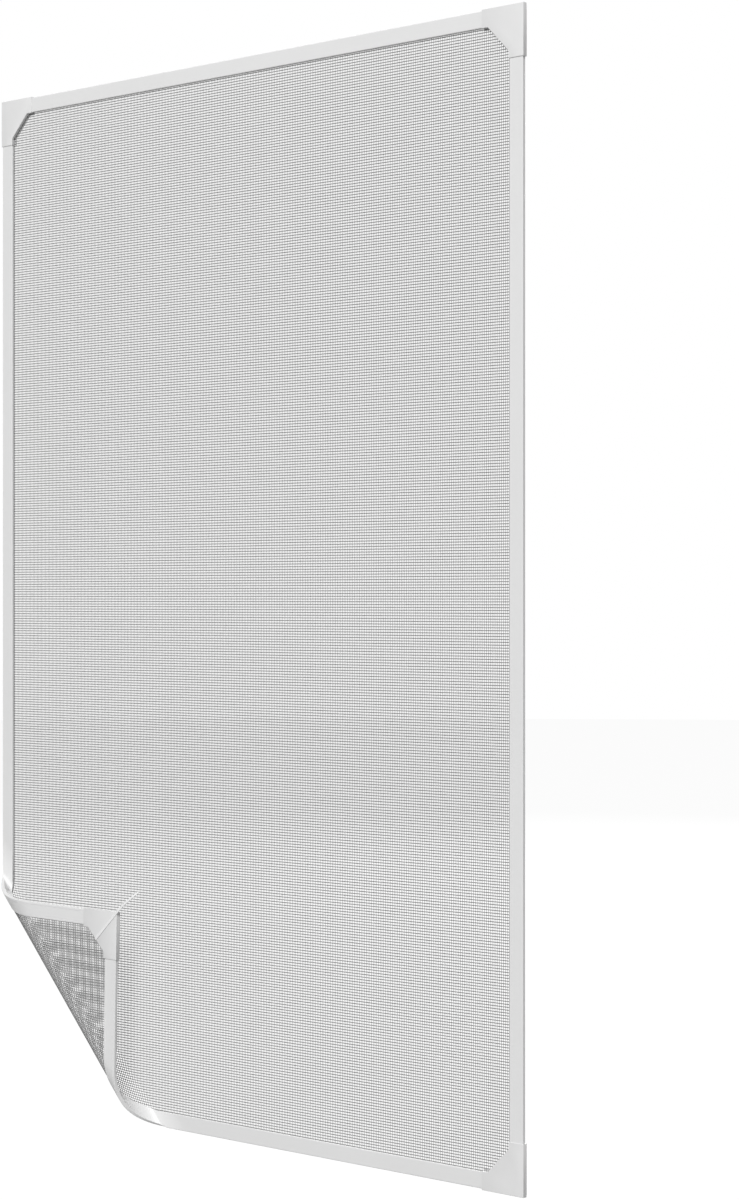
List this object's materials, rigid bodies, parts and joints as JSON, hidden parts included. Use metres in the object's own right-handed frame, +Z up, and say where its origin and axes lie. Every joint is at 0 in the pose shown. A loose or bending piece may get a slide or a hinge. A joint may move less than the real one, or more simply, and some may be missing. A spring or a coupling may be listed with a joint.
{
  "type": "magnetic window screen frame",
  "caption": "Flat magnetic insect screen for a window: slim pale plastic frame with corner caps, fine gauze, and one lower corner peeled forward and folded back.",
  "frame": {"origin": "middle of the lower strip on its window side, in the plane that the strips press against the window", "axes": "+Z up the long side of the screen, +X across it to the right as seen from the room, +Y from the room towards the window"},
  "size_m": [0.8024, 0.0521, 1.2024],
  "materials": {
    "frame_plastic": "extruded, satin",
    "cover_plastic": "extruded, satin",
    "ferrite_strip": "matt",
    "cap_plastic": "moulded, fine satin",
    "tab_film": "clear, smooth",
    "gauze_fibre": "coated fibre, matt"
  },
  "bodies": {
    "root": {"rail_top": "frame_plastic", "rail_right": "frame_plastic", "rail_bottom": "frame_plastic", "rail_left": "frame_plastic", "cover_strip_top": "cover_plastic", "cover_strip_right": "cover_plastic", "cover_strip_bottom": "cover_plastic", "cover_strip_left": "cover_plastic", "magnet_strip_top": "ferrite_strip", "magnet_strip_right": "ferrite_strip", "magnet_strip_bottom": "ferrite_strip", "magnet_strip_left": "ferrite_strip", "corner_cap_top_left": "cap_plastic", "corner_cap_top_right": "cap_plastic", "corner_cap_bottom_right": "cap_plastic", "corner_cap_bottom_left": "cap_plastic", "pull_tab": "tab_film", "gauze": "gauze_fibre"}
  },
  "joints": []
}
